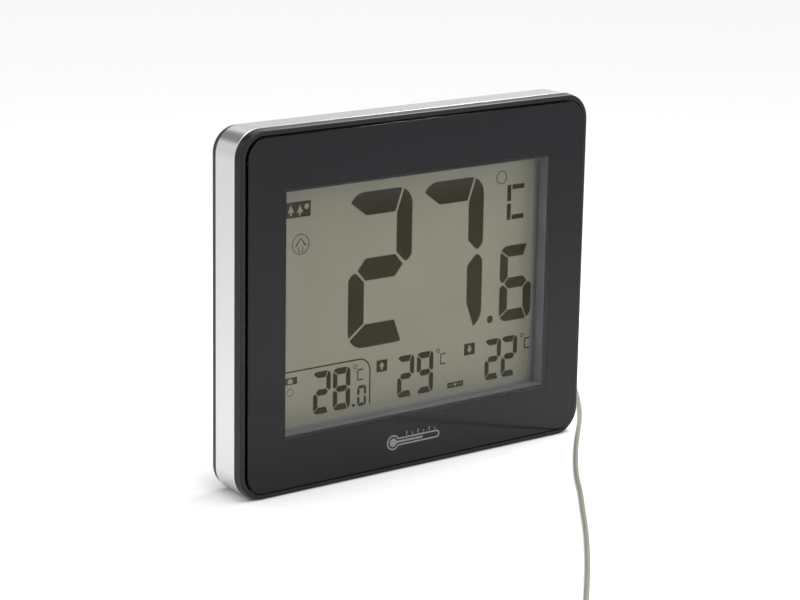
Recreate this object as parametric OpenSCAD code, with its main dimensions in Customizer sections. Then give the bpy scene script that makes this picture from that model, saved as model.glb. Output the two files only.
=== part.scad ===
// Wired maximum minimum thermometer: a slim upright case with a large display,
// a room sensor inside it and an outdoor probe on a long thin lead.
// +Z is up, the display faces -Y, and the case stands on z = 0.
// Most modules work in "plan": x to the right and y up from the middle of the
// case as its front is seen, z as the depth behind the rim of the front bezel.

/* [Case] */
// Width of the front outline
case_w = 120; // [118:0.5:122]
// Height of the front outline
case_h = 101; // [99:0.5:103]
// Corner radius of the front outline
case_r = 7.5; // [7:0.5:8.5]
// How far the bezel's side flares out behind the rim
side_flare = 0.3; // [0.1:0.1:0.4]
// Width of the rim around the front panel
rim_w = 1.35; // [1:0.05:1.5]
// Depth at which the silver band starts
band_front_d = 2.6; // [2.2:0.1:3]
// Depth at which the silver band ends
band_back_d = 12.2; // [12:0.1:12.4]
// Depth of the back panel's outer face
back_d = 15; // [14.8:0.1:15.2]
// Depth of the battery hump's outer face
hump_d = 24.4; // [24.2:0.1:25]
// Wall thickness of the back panel
wall = 1.6; // [1.4:0.1:1.7]

/* [Display] */
// Width of the clear window in the front panel
window_w = 91.2; // [88:0.2:92]
// Height of the clear window
window_h = 67.4; // [64:0.2:68]
// How far the window's middle sits to the right of the case's middle
window_shift = 0.4; // [0:0.1:0.5]
// How far the window's middle sits below the case's middle
window_drop = 0.45; // [0:0.05:0.6]
// How far the front panel stands proud of the rim
lens_proud = 0.6; // [0.3:0.1:0.8]
// Height of the two large digits
digit_h = 44; // [42:0.5:44]
// Height of the small digits in the lower row
small_digit_h = 12.1; // [11:0.1:12.5]

/* [Battery and stand] */
// Diameter of an AAA cell
cell_dia = 10.4; // [10.2:0.1:10.5]
// Length of an AAA cell's can
cell_len = 43.7; // [43:0.1:44]
// Angle through which the stand opens
stand_open = 91; // [60:1:91]
// Travel of the push buttons
button_travel = 0.5; // [0.3:0.1:0.5]

/* [Probe lead] */
// Diameter of the probe lead
lead_dia = 1.4; // [1.2:0.1:1.6]
// Middle diameter of the put-away coil's turns
coil_mid_dia = 24; // [23:0.5:25]
// Width of the coil's bundle of turns
coil_bundle_w = 10.6; // [10:0.1:11]
// Height of the coil's bundle of turns
coil_bundle_h = 8.6; // [8:0.1:9]
// Diameter of the probe's metal sleeve
probe_dia = 5; // [4.5:0.1:6]
// Length of the probe's metal sleeve
probe_len = 24; // [20:1:28]

/* [Hidden] */

// Overall frame: the depth is shared evenly either side of y = 0, and the
// underside is cut flat where the front outline ends
rim_y = lens_proud - (hump_d + lens_proud) / 2;
mid_z = case_h / 2;
fine = 96;
round_fn = 48;

// Front shell
edge_r = 0.45;
shelf_d0 = 1.4;
shelf_d1 = 2.9;
skirt_in0 = 1.6;
skirt_in1 = 2.8;
panel_in = rim_w + 0.35;
panel_w = case_w - 2 * panel_in;
panel_h = case_h - 2 * panel_in;
panel_r = case_r - panel_in;
panel_back_d = 0.4;
print_back_d = 0.5;
join_gap = 0.05;

// Display stack, front to back
shroud_rim = 1.8;
shroud_room = 0.2;
shroud_front_d = 0.6;
glass_d0 = 4.15;
cell_gap_d0 = 5.25;
cell_gap_d1 = 5.35;
ink_d0 = 5.27;
ink_d1 = 5.33;
glass_d1 = 6.45;
lcd_half_w = 48;
lcd_low = -36.9;
lcd_high = 37.7;
lcd_ledge = 34.2;
pocket_gap = 0.2;

// Circuit board and what is on it
board_d0 = 8.6;
board_d1 = 10.2;
board_half_w = 54.5;
board_low = -12;
board_high = 39;
board_post_x = 52.2;
board_post_ys = [-8, 34];
switch_x = 46;
switch_ys = [4, 16, 28];
switch_top_d = 11.8;
plunger_top_d = 12.2;
plunger_r = 1;

// Case screws
post_x = 52.5;
post_y = 43;
post_end_d = 12;

// Battery hump, door and stand
hump_half_w = 34;
hump_low = -mid_z;
hump_high = -13.2;
bay_half_w = 27.2;
bay_low = -40.2;
bay_high = -16.6;
bay_floor_d = 11.4;
bay_wall = 1.2;
cell_d = 17;
cell_ys = [-34, -22.6];
door_seat_d = hump_d - 1.8;
door_low = -42.6;
pivot_d = 17;
pivot_y = 3 - mid_z;
pin_r = 1;
arm_in_x = 34.6;
arm_w = 3.6;
stand_gap = 1.2;
stand_high = hump_high + stand_gap + 3.4;

// Lead: where it leaves the back panel, and its free route along the surface
exit_x = 46;
exit_y = -38;
grommet_end_d = 21;
lead_r = lead_dia / 2;
lead_start = [exit_x, rim_y + grommet_end_d + join_gap, mid_z + exit_y];
coil_at = [-49, -162, 0];
tie_t = 0.45;
tie_gap = 0.05;
lie_z = lead_r + 0.05;
lead_route = [lead_start, [46, 11, 12.5], [46.2, 13.4, 12.1], [47, 17, 10],
    [50, 22, 5.6], [55.5, 26, 2.3], [63, 30, 1], [72, 34.2, lie_z], [81.5, 37, lie_z],
    [89, 36.6, lie_z], [93.3, 32.6, lie_z], [92.4, 26.8, lie_z], [87, 19, lie_z],
    [80, 9.8, lie_z], [69, -3.4, lie_z], [57.6, -15.4, lie_z],
    [47.5, -26, lie_z], [38.5, -36, lie_z], [30, -46, lie_z],
    [21.5, -57, lie_z], [13, -67.5, lie_z], [0, -83.5, lie_z], [-16, -102, lie_z],
    [-32.5, -120, lie_z], [-47, -136, lie_z], [-61.2, -150.8, lie_z]];
tail_route = [[-49, -178.6, lie_z], [-45, -178.6, 0.85], [-41.5, -178.6, 1.45],
    [-38, -178.6, 2.2], [-35, -178.6, 2.48], [-33 - join_gap, -178.6, probe_dia / 2]];
tail_end = [-33, -178.6, probe_dia / 2];
collar_len = 8;

// ---- helpers ----------------------------------------------------------

module plan() {
    translate([0, rim_y, mid_z]) rotate([90, 0, 0]) mirror([0, 0, 1]) children();
}

module rounded(w, h, r) {
    square([w - 2 * r, h], center = true);
    square([w, h - 2 * r], center = true);
    for (sx = [-1, 1], sy = [-1, 1])
        translate([sx * (w / 2 - r), sy * (h / 2 - r)]) circle(r, $fn = fine);
}

module slab(d0, d1) {
    translate([0, 0, d0]) linear_extrude(d1 - d0) children();
}

module block(x0, x1, y0, y1, d0, d1) {
    translate([x0, y0, d0]) cube([x1 - x0, y1 - y0, d1 - d0]);
}

module post(x, y, r, d0, d1) {
    translate([x, y, d0]) cylinder(r = r, h = d1 - d0, $fn = round_fn);
}

// A rounded rectangular ring: section points are [inset from outline, depth]
module ring(w, h, r, section) {
    for (k = [0:3]) {
        long = k % 2 == 0 ? w : h;
        short = k % 2 == 0 ? h : w;
        rotate([0, 0, 90 * k]) {
            translate([-(long / 2 - r), 0, 0]) rotate([90, 0, 90])
                linear_extrude(long - 2 * r)
                    polygon([for (p = section) [short / 2 - p[0], p[1]]]);
            translate([long / 2 - r, short / 2 - r, 0])
                rotate_extrude(angle = 90, $fn = fine)
                    polygon([for (p = section) [r - p[0], p[1]]]);
        }
    }
}

// The outline of the display window, widened by "margin" on every side
module window(margin) {
    translate([window_shift, -window_drop])
        square([window_w + 2 * margin, window_h + 2 * margin], center = true);
}

// What the flare would leave below the flat underside
module below_base() {
    block(-case_w, case_w, -case_h, -mid_z, -1, back_d);
}

// Points of a quarter round between two directions, for ring sections
function arc(cx, cy, r, a0, a1, n) =
    [for (i = [0:n]) [cx + r * cos(a0 + (a1 - a0) * i / n), cy + r * sin(a0 + (a1 - a0) * i / n)]];

// A rounded block whose far face has its edge broken by a quarter round
module pillow(w, h, r, edge, d0, d1) {
    slab(d0, d1 - edge) rounded(w, h, r);
    slab(d0, d1) rounded(w - 2 * edge, h - 2 * edge, r - edge);
    ring(w, h, r, concat([[edge + 0.2, d1 - edge - 0.5], [0, d1 - edge - 0.5]],
        arc(edge, d1 - edge, edge, 180, 90, 4), [[edge + 0.2, d1]]));
}

function unit(v) = v / norm(v);

// A closed tube along a list of points, none of whose stretches runs along "level"
module tube(route, r, sides, level = [0, 0, 1]) {
    n = len(route);
    dirs = [for (i = [0:n - 1]) unit(route[min(i + 1, n - 1)] - route[max(i - 1, 0)])];
    points = [for (i = [0:n - 1])
        let (side = unit(cross(level, dirs[i])), up = cross(dirs[i], side))
        for (k = [0:sides - 1]) route[i] + r * (cos(360 * k / sides) * side + sin(360 * k / sides) * up)];
    walls = [for (i = [0:n - 2]) for (k = [0:sides - 1])
        [i * sides + k, (i + 1) * sides + k,
            (i + 1) * sides + (k + 1) % sides, i * sides + (k + 1) % sides]];
    first = [for (k = [0:sides - 1]) k];
    last = [for (k = [sides - 1:-1:0]) (n - 1) * sides + k];
    polyhedron(points, concat(walls, [first, last]));
}

// Catmull-Rom points through a route, with "steps" pieces to each stretch
function smooth(route, steps) =
    let (n = len(route))
    concat([for (i = [0:n - 2]) for (k = [0:steps - 1])
        let (a = route[max(i - 1, 0)], b = route[i], c = route[i + 1],
            e = route[min(i + 2, n - 1)], t = k / steps)
        0.5 * (2 * b + t * (c - a) + t * t * (2 * a - 5 * b + 4 * c - e)
            + t * t * t * (3 * b - a - 3 * c + e))], [route[n - 1]]);

// ---- front shell ------------------------------------------------------

bezel_section = concat([[skirt_in1, shelf_d0], [rim_w, shelf_d0], [rim_w, 0]],
    arc(edge_r, edge_r, edge_r, 270, 180, 4),
    [[-side_flare, band_front_d], [skirt_in0, band_front_d], [skirt_in0, 5], [skirt_in1, 5]]);

module front_bezel() {
    shelf_in = 2;
    color("#1b1b1d") plan() difference() {
        union() {
            ring(case_w, case_h, case_r, bezel_section);
            slab(shelf_d0, shelf_d1)
                rounded(case_w - 2 * shelf_in, case_h - 2 * shelf_in, case_r - shelf_in);
            for (sx = [-1, 1], sy = [-1, 1])
                post(sx * post_x, sy * post_y, 2.6, shelf_d1 - 0.5, post_end_d);
            for (sx = [-1, 1], y = board_post_ys)
                post(sx * board_post_x, y, 1.9, shelf_d1 - 0.5, 6.4);
        }
        slab(0, 4) window(shroud_rim + shroud_room);
        for (sx = [-1, 1], sy = [-1, 1])
            post(sx * post_x, sy * post_y, 1.12, 4.6, post_end_d + 1);
        for (sx = [-1, 1], y = board_post_ys)
            post(sx * board_post_x, y, 0.82, 3.3, 7);
        below_base();
    }
}

module front_panel() {
    chamfer = 0.25;
    color("#c8ccd0", 0.3) plan() {
        slab(-lens_proud, panel_back_d)
            rounded(panel_w - 4, panel_h - 4, panel_r - 2);
        ring(panel_w, panel_h, panel_r, [[2.2, panel_back_d], [0, panel_back_d],
            [0, chamfer - lens_proud], [chamfer, -lens_proud], [2.2, -lens_proud]]);
    }
}

module panel_print() {
    color("#202124") plan() slab(panel_back_d, print_back_d) difference() {
        rounded(panel_w - 0.6, panel_h - 0.6, panel_r - 0.3);
        window(0);
    }
}

module panel_tape() {
    color("#151515") plan() slab(print_back_d, shelf_d0) difference() {
        rounded(panel_w - 1.4, panel_h - 1.4, panel_r - 0.7);
        window(shroud_rim + 2 * shroud_room);
    }
}

module side_band() {
    front = band_front_d + join_gap;
    inner = skirt_in0 - 0.2;
    color("#d9dadb") plan() difference() {
        ring(case_w, case_h, case_r, [[inner, front], [0.1, front],
            [-side_flare + 0.05, front + 0.35], [0, band_back_d - 0.35],
            [0.35, band_back_d], [inner, band_back_d]]);
        below_base();
    }
}

// ---- back shell -------------------------------------------------------

lip_in = 0.4;
lip_r = back_d - 13.4;
inner_d = back_d - wall;
cover_section = concat([[skirt_in0, band_back_d + join_gap], [lip_in, band_back_d + join_gap]],
    arc(lip_in + lip_r, back_d - lip_r, lip_r, 180, 90, 5),
    [[skirt_in1 + 0.6, back_d], [skirt_in1 + 0.6, inner_d], [skirt_in1, inner_d],
        [skirt_in1, 10], [skirt_in0, 10]]);
keyhole_y = 30;
keyhole_run = 7;
keyhole_r = 4.2;
keyhole_slot_r = 1.9;
vent_x = -45;
vent_ys = [for (i = [0:4]) 12.6 + 3.2 * i];
button_r = 2.9;
button_hole_r = 3.15;

module hump() {
    w = 2 * hump_half_w;
    h = hump_high - hump_low;
    translate([0, (hump_high + hump_low) / 2, 0])
        pillow(w, h, 2.5, 1, inner_d, hump_d);
}

module back_cover() {
    plate_in = 2.4;
    color("#19191a") plan() difference() {
        union() {
            ring(case_w, case_h, case_r, cover_section);
            slab(inner_d, back_d)
                rounded(case_w - 2 * plate_in, case_h - 2 * plate_in, case_r - plate_in);
            hump();
            block(-bay_half_w - bay_wall, bay_half_w + bay_wall, bay_low - bay_wall,
                bay_high + bay_wall, bay_floor_d - bay_wall, inner_d + 0.5);
            for (sx = [-1, 1], sy = [-1, 1])
                post(sx * post_x, sy * post_y, 3.1, post_end_d + join_gap, inner_d + 0.5);
        }
        block(-bay_half_w, bay_half_w, bay_low, bay_high, bay_floor_d, hump_d + 1);
        block(-30.5, 30.5, door_low, hump_high + 1, door_seat_d, hump_d + 1);
        block(-31.9, 31.9, door_low, hump_high + 1, door_seat_d + 0.2, door_seat_d + 1.2);
        for (sx = [-1, 1]) {
            translate([sx * 30.4 - 1.6, -43.5, inner_d - 1]) cube([3.2, 26.5, 8]);
            translate([sx * (hump_half_w + 0.5), pivot_y, pivot_d]) rotate([0, -sx * 90, 0])
                cylinder(r = pin_r + 0.05, h = 2.9, $fn = round_fn);
        }
        for (sx = [-1, 1], sy = [-1, 1]) {
            post(sx * post_x, sy * post_y, 1.35, post_end_d - 1, back_d + 1);
            post(sx * post_x, sy * post_y, 2.5, 13.3, back_d + 1);
        }
        for (y = switch_ys)
            post(switch_x, y, button_hole_r, inner_d - 1, back_d + 1);
        post(0, keyhole_y, keyhole_r, inner_d - 1, back_d + 1);
        block(-keyhole_slot_r, keyhole_slot_r, keyhole_y, keyhole_y + keyhole_run,
            inner_d - 1, back_d + 1);
        post(0, keyhole_y + keyhole_run, keyhole_slot_r, inner_d - 1, back_d + 1);
        for (y = vent_ys)
            block(vent_x - 4.5, vent_x + 4.5, y - 0.75, y + 0.75, inner_d - 1, back_d + 1);
        post(exit_x, exit_y, 2, inner_d - 1, back_d + 1);
    }
}

module battery_door() {
    low = door_low + 0.2;
    color("#1c1c1e") plan() difference() {
        union() {
            block(-30.2, 30.2, low, hump_high, door_seat_d + 0.2, hump_d);
            block(-31.6, 31.6, low + 0.2, hump_high - 1.6, door_seat_d + 0.45, door_seat_d + 1);
        }
        for (i = [0:4])
            block(-7 + abs(i - 2), 7 - abs(i - 2), -22.6 + 1.9 * i, -21.7 + 1.9 * i,
                hump_d - 0.5, hump_d + 1);
    }
}

module stand() {
    out_x = arm_in_x + arm_w;
    low_d = pivot_d - 1.8;
    bar_low = hump_high + stand_gap;
    color("#1c1c1e") plan() {
        slab(low_d, low_d + 3.6) difference() {
            translate([0, (stand_high + pivot_y) / 2])
                square([2 * out_x, stand_high - pivot_y], center = true);
            translate([0, (bar_low + pivot_y - 1) / 2])
                square([2 * arm_in_x, bar_low - pivot_y + 1], center = true);
            for (sx = [-1, 1]) translate([sx * out_x, stand_high]) rotate(45)
                square(3.2, center = true);
        }
        for (sx = [-1, 1]) {
            translate([sx * (arm_in_x + arm_w / 2), pivot_y, pivot_d]) rotate([0, 90, 0])
                cylinder(r = 1.8, h = arm_w, center = true, $fn = round_fn);
            translate([sx * (arm_in_x + 0.5), pivot_y, pivot_d]) rotate([0, -sx * 90, 0])
                cylinder(r = pin_r, h = 2.9, $fn = round_fn);
        }
    }
}

// ---- display ----------------------------------------------------------

module lcd_shroud() {
    out_w = 2 * lcd_half_w + 3.6;
    color("#5c5d60") plan() difference() {
        union() {
            slab(shroud_front_d, shelf_d1 + 0.5) window(shroud_rim);
            block(-out_w / 2, out_w / 2, lcd_low - 1.8, lcd_high + 1.8, shelf_d1, 7.2);
            for (sx = [-1, 1], y = board_post_ys) {
                post(sx * board_post_x, y, 2.2, 6.45, board_d0 - join_gap);
                block(sx > 0 ? 49 : -52, sx > 0 ? 52 : -49, y - 1.6, y + 1.6, 6.45, 7.2);
            }
        }
        slab(0, 9) window(0);
        block(-lcd_half_w - pocket_gap, lcd_half_w + pocket_gap, lcd_low - pocket_gap,
            lcd_high + pocket_gap, glass_d0 - 0.25, 9);
        for (sx = [-1, 1], y = board_post_ys)
            post(sx * board_post_x, y, 0.95, 6, 9);
    }
}

module front_polariser() {
    color("#8b8c80", 0.4) plan() block(-47.4, 47.4, -36, 35.4, glass_d0 - 0.2, glass_d0);
}

module lcd_front_glass() {
    color("#b9c4bd", 0.35) plan()
        block(-lcd_half_w, lcd_half_w, lcd_low, lcd_high, glass_d0, cell_gap_d0);
}

module lcd_seal() {
    color("#3a3a36") plan() slab(cell_gap_d0, cell_gap_d1) difference() {
        translate([0, (lcd_low + lcd_ledge) / 2])
            square([2 * lcd_half_w - 1, lcd_ledge - lcd_low - 0.4], center = true);
        translate([0, (lcd_low + lcd_ledge) / 2])
            square([2 * lcd_half_w - 2.6, lcd_ledge - lcd_low - 1.0], center = true);
    }
}

module lcd_back_glass() {
    color("#b9c4bd", 0.35) plan()
        block(-lcd_half_w, lcd_half_w, lcd_low, lcd_ledge, cell_gap_d1, glass_d1);
}

module lcd_reflector() {
    color("#92938a") plan()
        block(-lcd_half_w, lcd_half_w, lcd_low, 33.8, glass_d1, glass_d1 + 0.2);
}

// Outlines of the seven segments on a digit 21.9 wide and 44 high.
// a is the top bar, b and c the right bars, d the bottom bar, e and f the left
// bars and g the middle bar.
seg_w = 21.9;
seg_h = 44;
seg_r = 5.2;
seam = 0.25;
function segment_outline(s) =
    s == "a" ? [[0.2, 41.6], [5.9, 37.4], [16, 37.4], [18.4, 44], [0.2, 44]] :
    s == "b" ? [[16.5, 37], [19, 44], [21.9, 44], [21.9, 24.6], [20.4, 22.9], [19.4, 22.9], [16.5, 25.8]] :
    s == "c" ? [[20.5, 21.5], [19.3, 21.5], [16.4, 18.5], [16.4, 7.6], [19.2, 0], [21.9, 0], [21.9, 19.8]] :
    s == "d" ? [[0, 2.2], [5.9, 6.6], [16.1, 6.6], [18.6, 0], [0, 0]] :
    s == "e" ? [[0, 2.9], [5.4, 6.9], [5.4, 18.7], [2.7, 21.5], [1.5, 21.5], [0, 19.8]] :
    s == "f" ? [[0, 41.1], [5.4, 37.1], [5.4, 25.5], [2.7, 22.7], [1.5, 22.7], [0, 24.4]] :
    [[3, 22.1], [5.8, 25.3], [16.2, 25.3], [18.9, 22.2], [16.1, 19], [5.8, 19]];

// A value drawn towards the middle of the range of "all" values by half a seam
function drawn_in(value, all) =
    let (middle = (min(all) + max(all)) / 2, length = max(all) - min(all))
    middle + (value - middle) * (1 - seam / length);

// One digit: its lower left corner, its size and the bars that are dark.
// Each bar is shortened a little so that the seams between bars stay open.
module digit(x, y, w, h, bars) {
    kx = w / seg_w;
    ky = h / seg_h;
    for (s = bars) {
        lies = s == "a" || s == "d" || s == "g";
        xs = [for (p = segment_outline(s)) p[0] * kx];
        ys = [for (p = segment_outline(s)) p[1] * ky];
        slab(ink_d0, ink_d1) translate([x, y]) intersection() {
            translate([w / 2, h / 2]) rounded(w, h, seg_r * kx);
            polygon([for (i = [0:len(xs) - 1])
                [lies ? drawn_in(xs[i], xs) : xs[i], lies ? ys[i] : drawn_in(ys[i], ys)]]);
        }
    }
}

// A thin-walled C and degree ring, with the C's lower left corner at x, y
module celsius(x, y, w, h, t, ring_x, ring_y, ring_r, ring_t) {
    gap = t * 0.3;
    slab(ink_d0, ink_d1) {
        translate([x, y]) square([t, h / 2 - gap]);
        translate([x, y + h / 2 + gap]) square([t, h / 2 - gap]);
        translate([x + t + gap, y]) square([w - t - gap, t]);
        translate([x + t + gap, y + h - t]) square([w - t - gap, t]);
    }
    slab(ink_d0, ink_d1) translate([ring_x, ring_y]) difference() {
        circle(ring_r, $fn = round_fn);
        circle(ring_r - ring_t, $fn = round_fn);
    }
}

two = ["a", "b", "g", "e", "d"];
small_w = 5.9;
row_y = -31.5;
ink = "#37362c";

module outdoor_digits() {
    color(ink) plan() {
        digit(-20.9, -14.9, 21.9, digit_h, two);
        digit(4.7, -14.9, 21.9, digit_h, ["a", "b", "c"]);
        digit(33.3, -14.8, 11.8, 22.3, ["a", "f", "g", "e", "c", "d"]);
        post(30, -13.4, 1.1, ink_d0, ink_d1);
    }
}

module room_digits() {
    color(ink) plan() {
        digit(-32.4, row_y, small_w, small_digit_h, two);
        digit(-25.7, row_y, small_w, small_digit_h, ["a", "b", "c", "d", "e", "f", "g"]);
        digit(-17.3, row_y, 3, 5.9, ["a", "b", "c", "d", "e", "f"]);
        post(-18.6, row_y + 0.5, 0.5, ink_d0, ink_d1);
    }
}

module high_digits() {
    color(ink) plan() {
        digit(-3.3, row_y, small_w, small_digit_h, two);
        digit(3.6, row_y, small_w, small_digit_h, ["a", "b", "c", "d", "f", "g"]);
    }
}

module low_digits() {
    color(ink) plan() {
        digit(28.5, row_y, small_w, small_digit_h, two);
        digit(34.6, row_y, small_w, small_digit_h, two);
    }
}

// Pictograms stand where words could be: trees and a house for the two
// sensors, arrows for the highest and lowest values and a sun for the day
module picture_box(x0, x1, y0, y1) {
    slab(ink_d0, ink_d1) difference() {
        translate([x0, y0]) square([x1 - x0, y1 - y0]);
        translate([(x0 + x1) / 2, (y0 + y1) / 2]) children();
    }
}

module arrow_up() {
    polygon([[-1, -0.1], [0, 1.2], [1, -0.1], [0.4, -0.1], [0.4, -1.1], [-0.4, -1.1], [-0.4, -0.1]]);
}

module house() {
    polygon([[-1.1, 0.1], [0, 0.85], [1.1, 0.1], [0.8, 0.1], [0.8, -0.7], [-0.8, -0.7], [-0.8, 0.1]]);
}

module tree() {
    polygon([[-1.1, -0.7], [0, 1.5], [1.1, -0.7], [0.3, -0.7], [0.3, -1.5], [-0.3, -1.5], [-0.3, -0.7]]);
}

module outline_ring(x, y, r, t) {
    slab(ink_d0, ink_d1) translate([x, y]) difference() {
        circle(r, $fn = round_fn);
        circle(r - t, $fn = round_fn);
    }
}

module lcd_symbols() {
    frame_y = -17.8;
    frame_x = -12.8;
    frame_r = 4;
    line = 0.4;
    color(ink) plan() {
        picture_box(-42.4, -33.8, 24.7, 29) {
            translate([-2.2, 0]) tree();
            translate([0.8, -0.2]) tree();
            translate([3, 0.6]) circle(0.8, $fn = round_fn);
        }
        picture_box(-42.4, -37.9, -21.6, -19.6) house();
        picture_box(-10.7, -7, -22.8, -19.4) arrow_up();
        picture_box(20.7, 24.6, -22.8, -19.4) mirror([0, 1]) arrow_up();
        picture_box(14.8, 20.6, -31.6, -30) {
            circle(0.45, $fn = round_fn);
            for (i = [-2, -1, 1, 2])
                translate([i * 1.05, 0]) square([0.5, 0.25], center = true);
        }
        celsius(35.3, 15.1, 6.2, 10.2, 1.4, 33, 27.8, 1.95, 0.22);
        celsius(-17.4, -24.1, 2, 3.3, 0.38, -18.1, -19.9, 0.65, 0.2);
        celsius(12, -24.1, 2, 3.3, 0.38, 11.2, -19.9, 0.65, 0.2);
        celsius(43.2, -24.1, 2, 3.3, 0.38, 42.2, -19.9, 0.65, 0.2);
        outline_ring(-37, 17.2, 2.85, 0.2);
        outline_ring(-40.2, -23.8, 1.1, 0.15);
        slab(ink_d0, ink_d1) translate([-37, 17]) difference() {
            polygon([[-1.9, -0.3], [0, 2], [1.9, -0.3], [0.8, -0.3], [0.8, -2], [-0.8, -2],
                [-0.8, -0.3]]);
            polygon([[-1.5, -0.5], [0, 1.7], [1.5, -0.5], [0.6, -0.5], [0.6, -1.8], [-0.6, -1.8],
                [-0.6, -0.5]]);
        }
        slab(ink_d0, ink_d1) {
            translate([-45.4, frame_y - line]) square([45.4 + frame_x - frame_r, line]);
            translate([frame_x - line, row_y + 0.2])
                square([line, frame_y - frame_r - row_y - 0.2]);
            translate([frame_x - frame_r, frame_y - frame_r]) intersection() {
                difference() {
                    circle(frame_r, $fn = fine);
                    circle(frame_r - line, $fn = fine);
                }
                square(frame_r);
            }
        }
    }
}

module zebra_strip() {
    color("#d8a7b0") plan() block(-42, 42, lcd_ledge + 0.9, lcd_high - 0.7, cell_gap_d0, board_d0);
}

// ---- electronics ------------------------------------------------------

module circuit_board() {
    color("#2e6b3c") plan() difference() {
        block(-board_half_w, board_half_w, board_low, board_high, board_d0, board_d1);
        for (sx = [-1, 1], y = board_post_ys)
            post(sx * board_post_x, y, 0.95, board_d0 - 1, board_d1 + 1);
    }
}

module chip_blob() {
    dome_r = 14;
    dome_h = 1.5;
    color("#101010") plan() intersection() {
        translate([-16, 12, board_d1 + dome_h - dome_r]) sphere(dome_r, $fn = fine);
        block(-30, -2, -2, 26, board_d1, board_d1 + 3);
    }
}

module crystal() {
    color("#c9cbcc") plan() translate([2, 24, board_d1 + 1.05]) rotate([0, 90, 0])
        cylinder(r = 1.05, h = 6, $fn = round_fn);
}

module capacitors() {
    color("#2a3c66") plan() {
        post(16, 10, 1.9, board_d1, board_d1 + 2.8);
        post(22, 10, 1.9, board_d1, board_d1 + 2.8);
    }
}

module chip_resistors() {
    color("#26241f") plan() for (i = [0:3], j = [0:1])
        block(12 + 4 * i, 14 + 4 * i, -4 + 4 * j, -2.75 + 4 * j, board_d1, board_d1 + 0.6);
}

module switch_bodies() {
    color("#bfc1c2") plan() for (y = switch_ys) difference() {
        block(switch_x - 3, switch_x + 3, y - 3, y + 3, board_d1, switch_top_d);
        post(switch_x, y, plunger_r + 0.12, board_d1 + 0.1, switch_top_d + 1);
    }
}

module room_thermistor() {
    bead_d = board_d1 + 1.6;
    color("#20262b") plan() {
        translate([vent_x, 20, bead_d]) sphere(r = 1.2, $fn = round_fn);
        for (sx = [-1, 1])
            post(vent_x + sx * 0.6, 20, 0.25, board_d1, bead_d);
    }
}

// A cap that stands proud of the back panel, with a flange that keeps it in
module button(y) {
    plan() {
        translate([switch_x, y, 0]) {
            rotate_extrude($fn = fine) polygon(concat([[0, plunger_top_d + 0.05],
                [plunger_r, plunger_top_d + 0.05], [plunger_r, 12.55], [3.7, 12.55],
                [3.7, inner_d - 0.1], [button_r, inner_d - 0.1]],
                arc(button_r - 0.5, 15.3, 0.5, 0, 90, 4), [[0, 15.6]]));
        }
    }
}

module button_record() { color("#a9abae") button(switch_ys[2]); }
module button_reset() { color("#a9abae") button(switch_ys[1]); }
module button_unit() { color("#a9abae") button(switch_ys[0]); }

module plunger(y) {
    plan() post(switch_x, y, plunger_r, board_d1 + 0.15 + button_travel, plunger_top_d);
}

module plunger_record() { color("#151515") plunger(switch_ys[2]); }
module plunger_reset() { color("#151515") plunger(switch_ys[1]); }
module plunger_unit() { color("#151515") plunger(switch_ys[0]); }

// ---- batteries --------------------------------------------------------

cell_shift = 2.4;
nub_len = 0.8;

// The cell's can is shifted towards the plate that its button touches
module aaa_cell(y, way) {
    plan() translate([way * cell_shift, y, cell_d]) rotate([0, way * 90, 0]) {
        translate([0, 0, -cell_len / 2]) rotate_extrude($fn = fine)
            polygon(concat([[0, 0], [cell_dia / 2 - 0.6, 0], [cell_dia / 2, 0.6]],
                [[cell_dia / 2, cell_len - 0.5], [cell_dia / 2 - 0.5, cell_len],
                [1.9, cell_len], [1.9, cell_len + nub_len], [0, cell_len + nub_len]]));
    }
}

module battery_upper() { color("#b7792b") aaa_cell(cell_ys[1], 1); }
module battery_lower() { color("#b7792b") aaa_cell(cell_ys[0], -1); }

plate_x = cell_shift + cell_len / 2 + nub_len;

module battery_springs() {
    turns = 4;
    steps = 14;
    wire_r = 0.3;
    base_x = bay_half_w - 0.4;
    tip_x = cell_len / 2 - cell_shift;
    color("#c4c6c7") plan() for (k = [0, 1]) {
        way = k == 0 ? -1 : 1;
        y = cell_ys[1 - k];
        run = base_x - tip_x - 2 * wire_r;
        tube([for (i = [0:turns * steps])
            let (a = 360 * i / steps, s = i / (turns * steps), r = 3.9 - 1.7 * s)
            [way * (base_x - wire_r + 0.1 - run * s), y + r * cos(a), cell_d + r * sin(a)]],
            wire_r, 6, [1, 0, 0]);
        block(way > 0 ? base_x : -bay_half_w, way > 0 ? bay_half_w : -base_x,
            y - 4.5, y + 4.5, cell_d - 4.8, cell_d + 4.8);
    }
}

module battery_plates() {
    color("#c4c6c7") plan() for (k = [0, 1]) {
        way = k == 0 ? 1 : -1;
        y = cell_ys[1 - k];
        block(way > 0 ? plate_x : -bay_half_w, way > 0 ? bay_half_w : -plate_x,
            y - 4.5, y + 4.5, cell_d - 4.8, cell_d + 4.8);
    }
}

module battery_wires() {
    wire_r = 0.45;
    for (sx = [-1, 1]) color(sx > 0 ? "#b3261e" : "#1d1d1d") plan()
        tube(smooth([[sx * 29.2, -30, 10.8], [sx * 30.6, -27, 10.4], [sx * 31, -20, 9.9],
            [sx * 30, -14, 10.6], [sx * 27, -9, 11], [sx * 24, -7, 10.8]], 3), wire_r, 6);
}

// ---- fasteners --------------------------------------------------------

module case_screws() {
    color("#8d8f91") plan() for (sx = [-1, 1], sy = [-1, 1]) difference() {
        translate([sx * post_x, sy * post_y, 0]) {
            post(0, 0, 1.1, 5, 13.5);
            post(0, 0, 2.2, 13.3, 14.6);
        }
        for (a = [0, 90]) translate([sx * post_x, sy * post_y, 14.4]) rotate([0, 0, a])
            cube([2.6, 0.6, 1.2], center = true);
    }
}

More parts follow.
